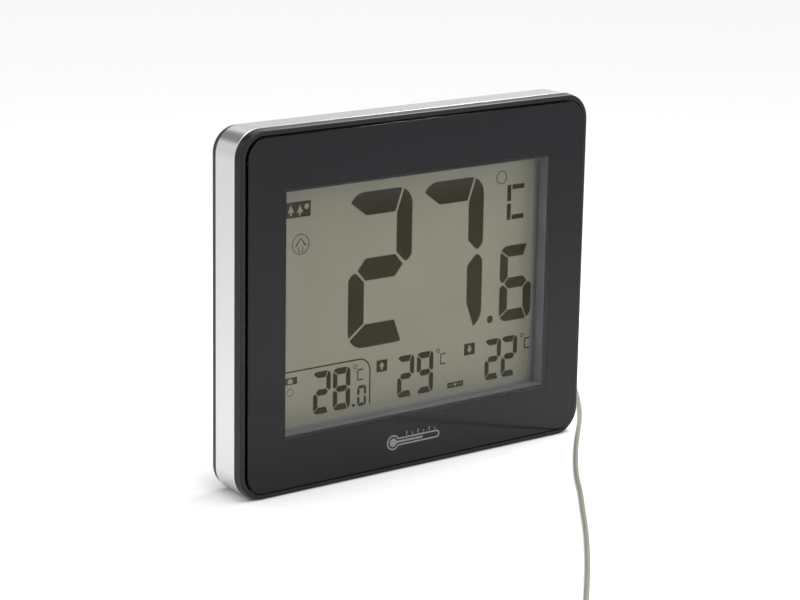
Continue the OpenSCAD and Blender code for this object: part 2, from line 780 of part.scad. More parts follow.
module board_screws() {
    color("#8d8f91") plan() for (sx = [-1, 1], y = board_post_ys) difference() {
        union() {
            post(sx * board_post_x, y, 0.8, 3.6, 10.5);
            post(sx * board_post_x, y, 1.7, board_d1, 11.3);
        }
        for (a = [0, 90]) translate([sx * board_post_x, y, 11.2]) rotate([0, 0, a])
            cube([2, 0.5, 1], center = true);
    }
}

// ---- probe lead -------------------------------------------------------

module lead_grommet() {
    color("#c9c9c2") plan() translate([exit_x, exit_y, 0])
        rotate_extrude($fn = fine) polygon([[0, 12.35], [2.8, 12.35], [2.8, inner_d - 0.05],
            [1.9, inner_d - 0.05], [1.9, back_d + 0.4], [2.3, back_d + 0.4], [2.2, back_d + 1.2],
            [1.75, 16.6], [1.75, 17.1], [1.95, 17.1], [1.85, 17.9], [1.5, 18.2], [1.5, 18.7],
            [1.7, 18.7], [1.5, 19.6], [1.05, grommet_end_d], [0, grommet_end_d]]);
}

module inner_lead() {
    color("#c9c9c2") plan() tube(smooth([[exit_x, exit_y, 12.25], [exit_x, exit_y, 11.6],
        [exit_x, -37.6, 10.8], [exit_x, -35, 9.8], [exit_x, -26, 10.2], [exit_x, -17, 11.2],
        [exit_x, -9, 11]], 4), lead_r, 8, [1, 0, 0]);
}

module probe_lead() {
    color("#b3b3a8") tube(smooth(lead_route, 3), lead_r, 8);
}

module lead_coil() {
    corner = 2.8;
    color("#b3b3a8") translate(coil_at) rotate_extrude($fn = fine)
        translate([coil_mid_dia / 2, tie_t + tie_gap + coil_bundle_h / 2])
            rounded(coil_bundle_w, coil_bundle_h, corner);
}

// The tie's band wraps the bundle of turns on the coil's right
module lead_tie() {
    in_w = coil_bundle_w + 0.5;
    in_h = coil_bundle_h + 2 * tie_gap;
    color("#1f1f1f") translate([coil_at[0] + coil_mid_dia / 2, coil_at[1], tie_t + in_h / 2])
        difference() {
            cube([in_w + 2 * tie_t, 3, in_h + 2 * tie_t], center = true);
            cube([in_w, 5, in_h], center = true);
        }
}

module probe_tail() {
    color("#b3b3a8") tube(smooth(tail_route, 3), lead_r, 8);
}

module probe_collar() {
    color("#2a2a2b") translate(tail_end) rotate([0, 90, 0])
        rotate_extrude($fn = fine) polygon([[0, 0], [1.2, 0], [1.7, 2.5], [1.7, 3.2], [2.2, 3.4],
            [2.2, collar_len], [0, collar_len]]);
}

module probe_sleeve() {
    r = probe_dia / 2;
    color("#c4c6c7") translate(tail_end + [collar_len, 0, 0]) rotate([0, 90, 0])
        rotate_extrude($fn = fine) polygon(concat([[0, 0], [r, 0], [r, 1.6], [r - 0.2, 1.9],
            [r - 0.2, 2.5], [r, 2.8]], arc(r - 1.6, probe_len - 1.6, 1.6, 0, 90, 6),
            [[0, probe_len]]));
}

front_bezel();
front_panel();
panel_print();
panel_tape();
side_band();
back_cover();
battery_door();
stand();
lcd_shroud();
front_polariser();
lcd_front_glass();
lcd_seal();
lcd_back_glass();
lcd_reflector();
outdoor_digits();
room_digits();
high_digits();
low_digits();
lcd_symbols();
zebra_strip();
circuit_board();
chip_blob();
crystal();
capacitors();
chip_resistors();
switch_bodies();
room_thermistor();
button_record();
button_reset();
button_unit();
plunger_record();
plunger_reset();
plunger_unit();
battery_upper();
battery_lower();
battery_springs();
battery_plates();
battery_wires();
case_screws();
board_screws();
lead_grommet();
inner_lead();
probe_lead();
lead_coil();
lead_tie();
probe_tail();
probe_collar();
probe_sleeve();
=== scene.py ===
import math

import bmesh
import bpy
from mathutils import Matrix, Vector
from mathutils.geometry import interpolate_bezier


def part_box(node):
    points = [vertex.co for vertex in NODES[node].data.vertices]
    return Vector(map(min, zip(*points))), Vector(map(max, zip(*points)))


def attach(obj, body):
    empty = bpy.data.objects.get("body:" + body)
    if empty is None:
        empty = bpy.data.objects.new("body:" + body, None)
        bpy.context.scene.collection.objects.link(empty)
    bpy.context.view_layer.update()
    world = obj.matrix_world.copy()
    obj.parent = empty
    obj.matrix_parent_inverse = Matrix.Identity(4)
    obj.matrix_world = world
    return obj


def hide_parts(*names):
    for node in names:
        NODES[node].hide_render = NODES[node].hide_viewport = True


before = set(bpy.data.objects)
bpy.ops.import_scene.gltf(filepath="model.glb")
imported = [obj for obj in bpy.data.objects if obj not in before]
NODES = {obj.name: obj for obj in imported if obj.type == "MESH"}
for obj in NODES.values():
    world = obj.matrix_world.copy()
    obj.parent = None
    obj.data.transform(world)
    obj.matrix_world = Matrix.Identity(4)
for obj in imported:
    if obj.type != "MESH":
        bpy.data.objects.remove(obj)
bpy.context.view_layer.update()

# A wired maximum minimum thermometer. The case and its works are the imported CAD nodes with
# procedural finishes. The lead, its tie, the display cell and the printed mark are made here.

MM = 0.001
RIM_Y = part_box("front_bezel")[0][1] / MM
MID_Z = sum(corner[2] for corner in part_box("front_panel")) / 2 / MM


# ---- camera ---------------------------------------------------------------

CAMERA_AT = (-0.42836, -0.55222, 0.22164)
CAMERA_TURN = (37.95, 14.13, 0.99)      # degrees of yaw, downward pitch and roll
LENS, SENSOR = 115.3, 36                # millimetres


def add_camera():
    """A long lens to the front left of the case, a little above its middle."""
    yaw, pitch, roll = (math.radians(a) for a in CAMERA_TURN)
    ahead = math.cos(pitch)
    forward = Vector((math.sin(yaw) * ahead, math.cos(yaw) * ahead, -math.sin(pitch)))
    level = Vector((math.cos(yaw), -math.sin(yaw), 0))
    upright = level.cross(forward)
    right = level * math.cos(roll) + upright * math.sin(roll)
    up = upright * math.cos(roll) - level * math.sin(roll)
    data = bpy.data.cameras.new("camera")
    data.lens = LENS
    data.sensor_width = SENSOR
    data.clip_start = 0.01
    camera = bpy.data.objects.new("camera", data)
    turn = Matrix((right, up, -forward)).transposed().to_4x4()
    camera.matrix_world = Matrix.Translation(CAMERA_AT) @ turn
    bpy.context.scene.collection.objects.link(camera)
    bpy.context.scene.camera = camera


add_camera()


# ---- small helpers for pieces ---------------------------------------------

def link(name, data):
    """A piece that rides with the case."""
    obj = bpy.data.objects.new(name, data)
    bpy.context.scene.collection.objects.link(obj)
    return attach(obj, "case")


def finished_mesh(mesh, name):
    """Object data from a bmesh, which is freed."""
    data = bpy.data.meshes.new(name)
    mesh.to_mesh(data)
    mesh.free()
    return data


def plan_point(x, y, d):
    """A place on the front: right, up from the case's middle, and behind the rim, in millimetres."""
    return Vector((x, RIM_Y + d, MID_Z + y)) * MM


def smooth_faces(mesh, limit=40):
    """Smooth shading that keeps edges sharper than the limit, in degrees."""
    mesh.shade_smooth()
    mesh.set_sharp_from_angle(angle=math.radians(limit))
    return mesh


# ---- probe lead -----------------------------------------------------------

# Millimetres in the CAD frame. The routes repeat those in part.scad.
LEAD_D = 1.4
LIE_Z = 0.75                            # height of the lead's middle where it lies on the table
LEAD_START = (46, 9.15, 12.5)
LEAD_ROUTE = [LEAD_START, (46, 11, 12.5), (46.2, 13.4, 12.1), (47, 17, 10), (50, 22, 5.6),
              (55.5, 26, 2.3), (63, 30, 1), (72, 34.2, LIE_Z), (81.5, 37, LIE_Z), (89, 36.6, LIE_Z),
              (93.3, 32.6, LIE_Z), (92.4, 26.8, LIE_Z), (87, 19, LIE_Z), (80, 9.8, LIE_Z),
              (69, -3.4, LIE_Z), (57.6, -15.4, LIE_Z), (47.5, -26, LIE_Z), (38.5, -36, LIE_Z),
              (30, -46, LIE_Z), (21.5, -57, LIE_Z), (13, -67.5, LIE_Z), (0, -83.5, LIE_Z),
              (-16, -102, LIE_Z), (-32.5, -120, LIE_Z), (-47, -136, LIE_Z), (-61.2, -150.8, LIE_Z)]
TAIL_ROUTE = [(-49, -178.6, LIE_Z), (-45, -178.6, 0.85), (-41.5, -178.6, 1.45), (-38, -178.6, 2.2),
              (-35, -178.6, 2.48), (-33.05, -178.6, 2.5)]
COIL_AT = (-49, -162)
OUTER_R = 16.6                          # radius of the coil's last, outer turn


def ease(t):
    """A smooth step from 0 to 1, held outside that range."""
    t = min(max(t, 0), 1)
    return t * t * (3 - 2 * t)


def between(value, stops):
    """Eased interpolation through (position, value) stops."""
    for (a, low), (b, high) in zip(stops, stops[1:]):
        if value <= b:
            return low + (high - low) * ease((value - a) / (b - a))
    return stops[-1][1]


def coil_points():
    """The put-away coil: a bundle six turns wide and six high, wound from the bottom row up, then
    one outer turn that comes down past the arriving lead and leaves for the probe."""
    per_turn, columns, rows = 15, 6, 6
    inner_r, step_r, step_z = 7.4, 1.56, 1.44
    entry, settled, leave = 137.4, 200, 270
    tie_reach, tie_lift = 38, 0.5
    radii = [inner_r + step_r * k for k in range(columns)]
    path = []
    for row in range(rows):
        order = radii[::-1] if row % 2 == 0 else radii
        path += [(r, row) for r in order]
    turns = len(path)

    def wound(angle):
        """Radius and height after this many degrees from the settled angle."""
        at = min(max(angle / 360, 0), turns - 1)
        k = min(int(at), turns - 2)
        blend = ease((at - k - 0.75) / 0.25)
        (r0, z0), (r1, z1) = path[k], path[k + 1]
        return r0 + (r1 - r0) * blend, LIE_Z + step_z * (z0 + (z1 - z0) * blend)

    top = LIE_Z + step_z * (rows - 1)
    total = settled + 360 * (turns - 1)
    release = 360 * math.ceil(total / 360) + 12
    last = 360 * math.ceil((release + 200) / 360) + leave
    if last - release > 300:
        last -= 360
    points = []
    count = round((last - entry) / 360 * per_turn)
    for i in range(1, count):
        angle = entry + (last - entry) * i / count
        radius, z = wound(angle - settled)
        if angle < settled:
            radius, z = between(angle, [(entry, OUTER_R), (settled, radii[-1])]), LIE_Z
        if angle > release:
            radius = between(angle, [(release, radii[-1]), (release + 45, OUTER_R)])
            z = between(angle, [(release, top), (release + 95, 2.3), (release + 185, 2.25),
                                (release + 225, LIE_Z)])
        from_tie = abs((angle + 180) % 360 - 180) / tie_reach
        lift = tie_lift * ease(1 - from_tie) if angle < release + 30 else 0
        turn = math.radians(angle)
        points.append((COIL_AT[0] + radius * math.cos(turn), COIL_AT[1] + radius * math.sin(turn), z + lift))
    return points


def swept(mesh, path, frames, profile, closed=False):
    """A profile of (wide, thick) points carried along a path by its (wide, thick) directions."""
    rings = [[mesh.verts.new(at + wide * w + thick * t) for w, t in profile]
             for at, (wide, thick) in zip(path, frames)]
    count = len(profile)
    for i in range(len(rings) if closed else len(rings) - 1):
        a, b = rings[i], rings[(i + 1) % len(rings)]
        for k in range(count):
            mesh.faces.new((a[k], a[(k + 1) % count], b[(k + 1) % count], b[k]))
    if not closed:
        mesh.faces.new(rings[0][::-1])
        mesh.faces.new(rings[-1])


def smooth_line(points, pieces):
    """A smooth line through the points, with this many pieces between each pair."""
    last = len(points) - 1
    tangents = [(points[min(i + 1, last)] - points[max(i - 1, 0)]).normalized() for i in range(last + 1)]
    line = []
    for i in range(last):
        reach = (points[i + 1] - points[i]).length / 3
        line += interpolate_bezier(points[i], points[i] + tangents[i] * reach,
                                   points[i + 1] - tangents[i + 1] * reach, points[i + 1], pieces + 1)[:-1]
    return line + [points[-1]]


def lead_tube(path, radius, sides=12):
    """A round tube along a path, whose rings don't twist from one to the next."""
    last = len(path) - 1
    wide = Vector((0, 0, 1))
    frames = []
    for i in range(last + 1):
        tangent = (path[min(i + 1, last)] - path[max(i - 1, 0)]).normalized()
        wide = (wide - tangent * wide.dot(tangent)).normalized()
        frames.append((wide, tangent.cross(wide)))
    turns = [math.tau * k / sides for k in range(sides)]
    ring = [(radius * math.cos(turn), radius * math.sin(turn)) for turn in turns]
    mesh = bmesh.new()
    swept(mesh, path, frames, ring)
    bmesh.ops.recalc_face_normals(mesh, faces=mesh.faces)
    return link("probe_lead_line", smooth_faces(finished_mesh(mesh, "probe_lead_line"), 60))


lead_path = smooth_line([Vector(p) * MM for p in LEAD_ROUTE + coil_points() + TAIL_ROUTE], 4)
lead = lead_tube(lead_path, LEAD_D / 2 * MM)
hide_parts("probe_lead", "lead_coil", "probe_tail")
lead.visible_glossy = False     # the photo's fascia mirrors the room, not the lead


# ---- procedural looks -----------------------------------------------------

def add_ramp(nodes, links, fac, stops):
    """A colour ramp from (position, grey value or colour) stops."""
    node = nodes.new("ShaderNodeValToRGB")
    links.new(fac, node.inputs[0])
    points = node.color_ramp.elements
    while len(points) < len(stops):
        points.new(0.5)
    for point, (position, value) in zip(points, stops):
        point.position = position
        point.color = (*value, 1) if isinstance(value, tuple) else (value, value, value, 1)
    return node.outputs[0]


SOCKETS = {"metallic": "Metallic", "specular": "Specular IOR Level", "edge_tint": "Specular Tint",
           "coat": "Coat Weight", "coat_rough": "Coat Roughness",
           "sheen": "Sheen Weight", "sheen_rough": "Sheen Roughness"}


class Look:
    """A Principled material, with textures in object coordinates (metres)."""

    def __init__(self, name, base=(0.5, 0.5, 0.5), roughness=0.5, **sockets):
        self.material = bpy.data.materials.new(name)
        self.material.use_nodes = True
        self.nodes = self.material.node_tree.nodes
        self.links = self.material.node_tree.links
        self.shader = self.nodes["Principled BSDF"]
        self.output = self.nodes["Material Output"].inputs["Surface"]
        self.place = self.nodes.new("ShaderNodeTexCoord").outputs["Object"]
        self.shader.inputs["Base Color"].default_value = (*base, 1)
        self.shader.inputs["Roughness"].default_value = roughness
        for key, value in sockets.items():
            self.shader.inputs[SOCKETS[key]].default_value = value

    def add(self, kind, settings=(), **inputs):
        """A node, with its inputs set by name (or i0, i1 by place) to values or joined to outputs."""
        node = self.nodes.new("ShaderNode" + kind)
        for key, value in dict(settings).items():
            setattr(node, key, value)
        for key, value in inputs.items():
            place = int(key[1:]) if key[1:].isdigit() else key.replace("_", " ")
            socket = node.inputs[place]
            if isinstance(value, bpy.types.NodeSocket):
                self.links.new(value, socket)
            else:
                socket.default_value = value
        return node

    def stretched(self, stretch):
        """The texture place, scaled along each axis where a stretch is given."""
        if not stretch:
            return self.place
        return self.add("Mapping", Vector=self.place, Scale=stretch).outputs[0]

    def noise(self, size, stretch=None, detail=3, roughness=0.55):
        """Noise whose features are about this many millimetres across."""
        return self.add("TexNoise", Vector=self.stretched(stretch), Scale=1000 / size, Detail=detail,
                        Roughness=roughness).outputs[0]

    def cells(self, size, stretch=None):
        """Rounded cells about this many millimetres apart."""
        return self.add("TexVoronoi", Vector=self.stretched(stretch), Scale=1000 / size).outputs[0]

    def ramp(self, fac, *stops):
        """Grey values or colours at positions along fac."""
        return add_ramp(self.nodes, self.links, fac, stops)

    def math(self, operation, a, b=0.0):
        """One step of arithmetic on two values or outputs."""
        return self.add("Math", {"operation": operation}, i0=a, i1=b).outputs[0]

    def mix(self, fac, a, b):
        """A colour between a and b, each a colour or an output."""
        node = self.add("Mix", {"data_type": "RGBA"}, i0=fac)
        for socket, value in ((node.inputs[6], a), (node.inputs[7], b)):
            if isinstance(value, tuple):
                socket.default_value = (*value, 1)
            else:
                self.links.new(value, socket)
        return node.outputs[2]

    def colour(self, value):
        self.links.new(value, self.shader.inputs["Base Color"])
        return self

    def rough(self, value):
        self.links.new(value, self.shader.inputs["Roughness"])
        return self

    def relief(self, *layers, edge=0):
        """Bumps from (height, depth) layers over edges softened by a radius, all in millimetres."""
        normal = self.add("Bevel", {"samples": 4}, Radius=edge * MM).outputs[0] if edge else None
        for height, depth in layers:
            node = self.add("Bump", Height=height, Distance=depth * MM, Strength=1.0)
            if normal:
                self.links.new(normal, node.inputs["Normal"])
            normal = node.outputs[0]
        self.links.new(normal, self.shader.inputs["Normal"])
        return self

    def sharp_edge_mask(self, size):
        """1 within this many millimetres of a sharp edge, 0 on the flats."""
        soft = self.add("Bevel", {"samples": 4}, Radius=size * MM).outputs[0]
        true = self.add("NewGeometry").outputs["True Normal"]
        along = self.add("VectorMath", {"operation": "DOT_PRODUCT"}, i0=soft, i1=true).outputs["Value"]
        return self.ramp(along, (0.55, 1.0), (0.985, 0.0))


def brighter(colour, factor, lift=0.0):
    """A colour scaled and lifted, kept within white."""
    return tuple(min(1, c * factor + lift) for c in colour)


def gloss_plastic(name, base, roughness=0.14, specular=0.5):
    """Polished moulded plastic: faint smears, hairline scratches and polished edges."""
    look = Look(name, base, specular=specular)
    smears = look.noise(14, (1, 1, 0.6), detail=4)
    hair = look.ramp(look.noise(0.5, (1, 0.15, 0.03), detail=2), (0.5, 0.0), (0.62, 1.0))
    look.colour(look.mix(look.ramp(smears, (0.35, 0.0), (0.75, 0.6)), base, brighter(base, 1.6, 0.003)))
    look.rough(look.math("ADD", look.ramp(smears, (0.3, roughness * 0.7), (0.75, roughness * 1.4)),
                         look.math("MULTIPLY", hair, 0.05)))
    return look.relief((look.noise(3.5), 0.004), (hair, 0.0008), edge=0.12).material


def eroded_plastic(name, base, grain=0.32, depth=0.016, roughness=0.5):
    """Moulded plastic with a spark-eroded grain that is worn smoother and lighter on its edges."""
    look = Look(name, base, specular=0.45)
    pebbles = look.cells(grain)
    dust = look.noise(9, detail=5, roughness=0.65)
    edge_wear_and_highlight = look.sharp_edge_mask(0.25)
    tone = look.mix(look.ramp(dust, (0.42, 0.0), (0.8, 0.55)), base, brighter(base, 1.9, 0.006))
    look.colour(look.mix(look.math("MULTIPLY", edge_wear_and_highlight, 0.5), tone, brighter(base, 2.4, 0.01)))
    look.rough(look.math("SUBTRACT", look.ramp(dust, (0.3, roughness * 0.86), (0.8, roughness * 1.25)),
                         look.math("MULTIPLY", edge_wear_and_highlight, 0.14)))
    return look.relief((look.noise(2.4, detail=2), 0.01), (pebbles, depth),
                       (look.noise(grain * 0.4), depth * 0.35), edge=0.2).material


def satin_silver(name):
    """Silver lacquer with fine brushing along the band, and its edges painted lighter as a highlight."""
    look = Look(name, (0.7, 0.7, 0.71), metallic=0.92, edge_tint=(0.8, 0.8, 0.8, 1))
    lines = look.noise(0.11, (0.02, 1, 0.02), detail=4, roughness=0.7)
    cloud = look.noise(12, detail=3)
    edge_wear_and_highlight = look.sharp_edge_mask(0.18)
    tone = look.mix(look.ramp(lines, (0.3, 0.0), (0.7, 1.0)), (0.64, 0.64, 0.645), (0.71, 0.71, 0.715))
    # painted highlight: the base colour turns lighter near the sharp edges
    look.colour(look.mix(edge_wear_and_highlight, tone, (0.82, 0.82, 0.82)))
    look.rough(look.math("ADD", look.ramp(cloud, (0.3, 0.19), (0.75, 0.25)),
                         look.math("MULTIPLY", look.ramp(lines, (0.35, 0.0), (0.7, 1.0)), 0.05)))
    return look.relief((lines, 0.0012), (look.noise(5), 0.004), edge=0.1).material


TARNISH = (0.5, 0.45, 0.38)     # how much of each colour is left in a tarnished patch


def bright_metal(name, base, roughness, grain=0.12, stretch=None):
    """Plated or plain metal: fine grain, a little tarnish in patches, rubbed edges."""
    look = Look(name, base, metallic=1.0)
    lines = look.noise(grain, stretch, detail=4, roughness=0.7)
    patches = look.noise(2.6, detail=5, roughness=0.7)
    dull = tuple(b * t for b, t in zip(base, TARNISH))
    tone = look.mix(look.ramp(patches, (0.5, 0.0), (0.85, 0.5)), base, dull)
    rubbed = look.math("MULTIPLY", look.sharp_edge_mask(0.12), 0.6)
    look.colour(look.mix(rubbed, tone, brighter(base, 1.25)))
    look.rough(look.math("ADD", look.ramp(patches, (0.35, roughness * 0.8), (0.8, roughness * 1.5)),
                         look.math("MULTIPLY", lines, 0.08)))
    return look.relief((lines, 0.0015), (patches, 0.004), edge=0.05).material


def flexible_pvc(name, base):
    """Soft extruded PVC: faint mottling, rubbed dirt and a low sheen."""
    look = Look(name, base, specular=0.4, sheen=0.08, sheen_rough=0.4)
    mottle = look.noise(1.6, detail=4, roughness=0.6)
    dirt = look.noise(11, detail=5, roughness=0.7)
    grubby = (base[0] * 0.72, base[1] * 0.68, base[2] * 0.58)
    tone = look.mix(look.ramp(mottle, (0.35, 0.0), (0.7, 1.0)), brighter(base, 0.8), brighter(base, 1.08))
    look.colour(look.mix(look.ramp(dirt, (0.52, 0.0), (0.8, 0.7)), tone, grubby))
    look.rough(look.ramp(mottle, (0.3, 0.36), (0.75, 0.56)))
    return look.relief((mottle, 0.02), (look.noise(0.25), 0.006)).material


def clear_cover(name, roughness, tint, ior, shine):
    """A clear sheet: what is behind shows straight through, and its outer faces mirror by Fresnel."""
    look = Look(name)
    facing = look.add("NewGeometry").outputs["Backfacing"]
    front = look.math("MULTIPLY", look.math("SUBTRACT", 1.0, facing), shine)
    look.links.new(clear_sheet(look, roughness, tint, ior, front), look.output)
    look.nodes.remove(look.shader)
    return look.material


def clear_sheet(look, roughness, tint, ior, share):
    """The shader of a clear sheet, whose mirror is this share of the full Fresnel one."""
    smear = look.noise(22, (1, 1, 0.5), detail=5, roughness=0.6)
    bump = look.add("Bump", Height=look.noise(40, detail=1), Distance=0.004 * MM,
                    Strength=1.0).outputs[0]
    mirror = look.add("BsdfGlossy", Color=(1, 1, 1, 1), Normal=bump,
                      Roughness=look.ramp(smear, (0.3, roughness * 0.8), (0.8, roughness * 1.4)))
    hazy = look.mix(look.ramp(smear, (0.3, 0.0), (0.8, 1.0)), tint, brighter(tint, 0.985))
    clear = look.add("BsdfTransparent", Color=hazy)
    share = look.math("MULTIPLY", look.add("Fresnel", IOR=ior).outputs[0], share)
    return look.add("MixShader", i0=share, i1=clear.outputs[0], i2=mirror.outputs[0]).outputs[0]


ACRYLIC_IOR = 1.49
PRINT_BLACK = (0.0052, 0.0051, 0.0068)
# Millimetres: clear sheet left round the window, so that its print edge shows, and how far inside
# the window the mirror's fading is spread.
PRINT_MARGIN, FADE = 0.85, 10
BEVEL_MIRROR = 0.2      # how much of the mirror stays on the sheet's bevelled rim


def windowed_cover(name, roughness, tint, middle, half_size, shine):
    """The acrylic front: clear over the window, and black with the sheet's gloss where a print
    backs it. The mirror weakens towards the window's middle, as over an anti-glare polariser."""
    look = Look(name, PRINT_BLACK, roughness, specular=0.23)
    smear = look.noise(22, (1, 1, 0.5), detail=5, roughness=0.6)
    cloud = look.noise(40, detail=2)
    look.colour(look.mix(look.ramp(cloud, (0.3, 0.0), (0.75, 1.0)), PRINT_BLACK, brighter(PRINT_BLACK, 1.25)))
    look.rough(look.ramp(smear, (0.3, roughness * 0.8), (0.8, roughness * 1.4)))
    look.relief((look.noise(40, detail=1), 0.004))
    past = past_rectangle(look, middle, half_size)
    geometry = look.add("NewGeometry")
    depth = look.add("SeparateXYZ", Vector=geometry.outputs["Normal"]).outputs[1]
    flat = look.math("GREATER_THAN", look.math("ABSOLUTE", depth), 0.99)
    inward = look.math("DIVIDE", past, -FADE * MM)
    here = look.ramp(inward, (0.07, shine), (0.3, shine * 0.72), (0.8, shine * 0.24))
    here = look.math("MULTIPLY", here, look.ramp(flat, (0.0, BEVEL_MIRROR), (1.0, 1.0)))
    front = look.math("MULTIPLY", look.math("SUBTRACT", 1.0, geometry.outputs["Backfacing"]), here)
    printed = look.math("MULTIPLY", flat, look.math("GREATER_THAN", past, PRINT_MARGIN * MM))
    clear = clear_sheet(look, roughness, tint, ACRYLIC_IOR, front)
    body = look.add("MixShader", i0=printed, i1=clear, i2=look.shader.outputs[0])
    look.links.new(body.outputs[0], look.output)
    return look.material


def past_rectangle(look, middle, half_size):
    """How far a point lies outside an upright rectangle given in millimetres, below zero inside."""
    place = look.add("SeparateXYZ", Vector=look.place)
    past = []
    for axis, centre, half in ((0, middle[0], half_size[0]), (2, middle[1], half_size[1])):
        off_centre = look.math("ABSOLUTE", look.math("SUBTRACT", place.outputs[axis], centre * MM))
        past.append(look.math("SUBTRACT", off_centre, half * MM))
    return look.math("MAXIMUM", *past)


def printed_film(name, base, light=1.25, specular=0.1):
    """Screen-printed ink on a film: even, with a very fine tooth."""
    look = Look(name, base, 0.55, specular=specular)
    tooth = look.noise(0.3, detail=4)
    cloud = look.noise(40, detail=2)
    look.colour(look.mix(look.ramp(cloud, (0.3, 0.0), (0.75, 1.0)), base, brighter(base, light)))
    look.rough(look.ramp(tooth, (0.3, 0.5), (0.7, 0.66)))
    return look.relief((tooth, 0.001)).material


def display_ink(name):
    """Dark liquid crystal: nearly opaque, with a fine mottle."""
    look = Look(name, (0.01, 0.01, 0.006), 0.6, specular=0.05)
    mottle = look.noise(0.5, detail=3, roughness=0.6)
    look.colour(look.mix(look.ramp(mottle, (0.4, 0.0), (0.75, 1.0)),
                         (0.025, 0.0212, 0.0113), (0.031, 0.0264, 0.0146)))
    look.rough(look.ramp(mottle, (0.3, 0.5), (0.7, 0.7)))
    return look.relief((mottle, 0.001)).material


def reflective_film(name, middle, half_size, ledge_shade_band):
    """The film behind the liquid crystal: grey green with a fine sparkle, and near the window's edge
    a painted paler rim and a soft grey band of painted shade from the shroud's ledge. Sizes in millimetres,
    the middle as x and z."""
    look = Look(name, (0.24, 0.245, 0.2), 0.5, specular=0.1)
    sparkle = look.noise(0.3, detail=3, roughness=0.6)
    cloud = look.noise(28, detail=3, roughness=0.5)
    tone = look.mix(look.ramp(cloud, (0.3, 0.0), (0.7, 1.0)),
                    (0.313, 0.291, 0.266), (0.333, 0.311, 0.286))
    tone = look.mix(look.ramp(sparkle, (0.45, 0.0), (0.8, 0.3)), tone, (0.39, 0.367, 0.34))
    past = past_rectangle(look, middle, half_size)
    beyond = look.math("ADD", look.math("DIVIDE", past, ledge_shade_band * MM), 0.5)
    # painted light and shade at the window's edge: a paler rim, then a darker grey band where the shroud's
    # ledge shades the film
    paled_rim = look.mix(look.ramp(beyond, (0.0, 0.0), (0.35, 0.6)), tone, (0.4, 0.4, 0.39))
    look.colour(look.mix(look.ramp(beyond, (0.2, 0.0), (1.0, 1.0)), paled_rim, (0.27, 0.275, 0.295)))
    look.rough(look.ramp(sparkle, (0.3, 0.45), (0.7, 0.62)))
    return look.relief((sparkle, 0.002)).material


def soft_rubber(name, base, roughness):
    """Matt rubber, foam or soft plastic: a fine skin over faint clouds."""
    look = Look(name, base, specular=0.35)
    skin = look.noise(0.5, detail=4)
    cloud = look.noise(4, detail=4)
    look.colour(look.mix(look.ramp(cloud, (0.35, 0.0), (0.75, 1.0)),
                         brighter(base, 0.8), brighter(base, 1.3, 0.003)))
    look.rough(look.ramp(skin, (0.3, roughness * 0.85), (0.7, min(1, roughness * 1.2))))
    return look.relief((skin, 0.012), (look.cells(0.2), 0.004), edge=0.1).material


def layered_rubber(name):
    """Zebra connector: thin carbon layers across pink silicone."""
    look = Look(name, (0.5, 0.3, 0.33), 0.6)
    bands = look.add("TexWave", {"bands_direction": "X"}, Vector=look.place, Scale=1600.0).outputs[1]
    grain = look.noise(0.6)
    pink = look.mix(look.ramp(grain, (0.3, 0.0), (0.7, 1.0)), (0.48, 0.28, 0.3), (0.58, 0.36, 0.4))
    look.colour(look.mix(look.ramp(bands, (0.45, 0.0), (0.55, 1.0)), pink, (0.02, 0.02, 0.02)))
    look.rough(look.ramp(grain, (0.3, 0.5), (0.7, 0.7)))
    return look.relief((bands, 0.01)).material


def solder_mask(name):
    """Green board with copper tracks showing through as a lighter green, and a glossy mask."""
    look = Look(name, (0.02, 0.12, 0.05), 0.3, coat=0.4, coat_rough=0.15)
    grid = look.add("TexBrick", {"offset": 0.35, "squash": 1.0}, Vector=look.stretched((1, 0, 1)),
                    Scale=190.0, Color1=(1, 1, 1, 1), Color2=(1, 1, 1, 1),
                    Mortar=(0, 0, 0, 1), Mortar_Size=0.012).outputs[0]
    weave = look.cells(0.8, (1, 1, 1.6))
    mask = look.mix(look.ramp(weave, (0.1, 0.0), (0.7, 1.0)), (0.012, 0.085, 0.03), (0.02, 0.12, 0.045))
    look.colour(look.mix(grid, (0.05, 0.22, 0.08), mask))
    look.rough(look.ramp(look.noise(3), (0.3, 0.24), (0.7, 0.4)))
    return look.relief((grid, -0.02), (weave, 0.006)).material


CELL_HALF = 22                      # millimetres from a battery's middle to the end of its jacket
JACKET_DARK = (0.012, 0.012, 0.014)
JACKET_COPPER = (0.42, 0.2, 0.09)


def cell_jacket(name, middle_x, way):
    """A battery's printed jacket: a copper coloured band at the positive end, dark elsewhere."""
    look = Look(name, JACKET_DARK, 0.3, coat=0.5, coat_rough=0.12)
    x = look.add("SeparateXYZ", Vector=look.place).outputs[0]
    along = look.math("MULTIPLY", look.math("SUBTRACT", x, middle_x * MM), way / (CELL_HALF * MM))
    scuff = look.noise(1.2, (0.3, 1, 1), detail=5, roughness=0.7)
    jacket = look.mix(look.ramp(along, (0.48, 0.0), (0.5, 1.0)), JACKET_DARK, JACKET_COPPER)
    ring = look.ramp(along, (0.44, 0.0), (0.445, 1.0), (0.46, 1.0), (0.465, 0.0))
    jacket = look.mix(ring, jacket, (0.5, 0.48, 0.44))
    jacket = look.mix(look.ramp(scuff, (0.55, 0.0), (0.85, 0.4)), jacket, (0.3, 0.28, 0.25))
    ends = look.ramp(look.math("ABSOLUTE", along), (0.985, 0.0), (0.99, 1.0))
    look.colour(look.mix(ends, jacket, (0.55, 0.55, 0.54)))
    foil = look.math("MAXIMUM", ends, look.ramp(along, (0.48, 0.0), (0.5, 0.75)))
    look.links.new(foil, look.shader.inputs["Metallic"])
    look.rough(look.ramp(scuff, (0.3, 0.24), (0.8, 0.42)))
    return look.relief((scuff, 0.003), edge=0.1).material


# ---- display cell ---------------------------------------------------------

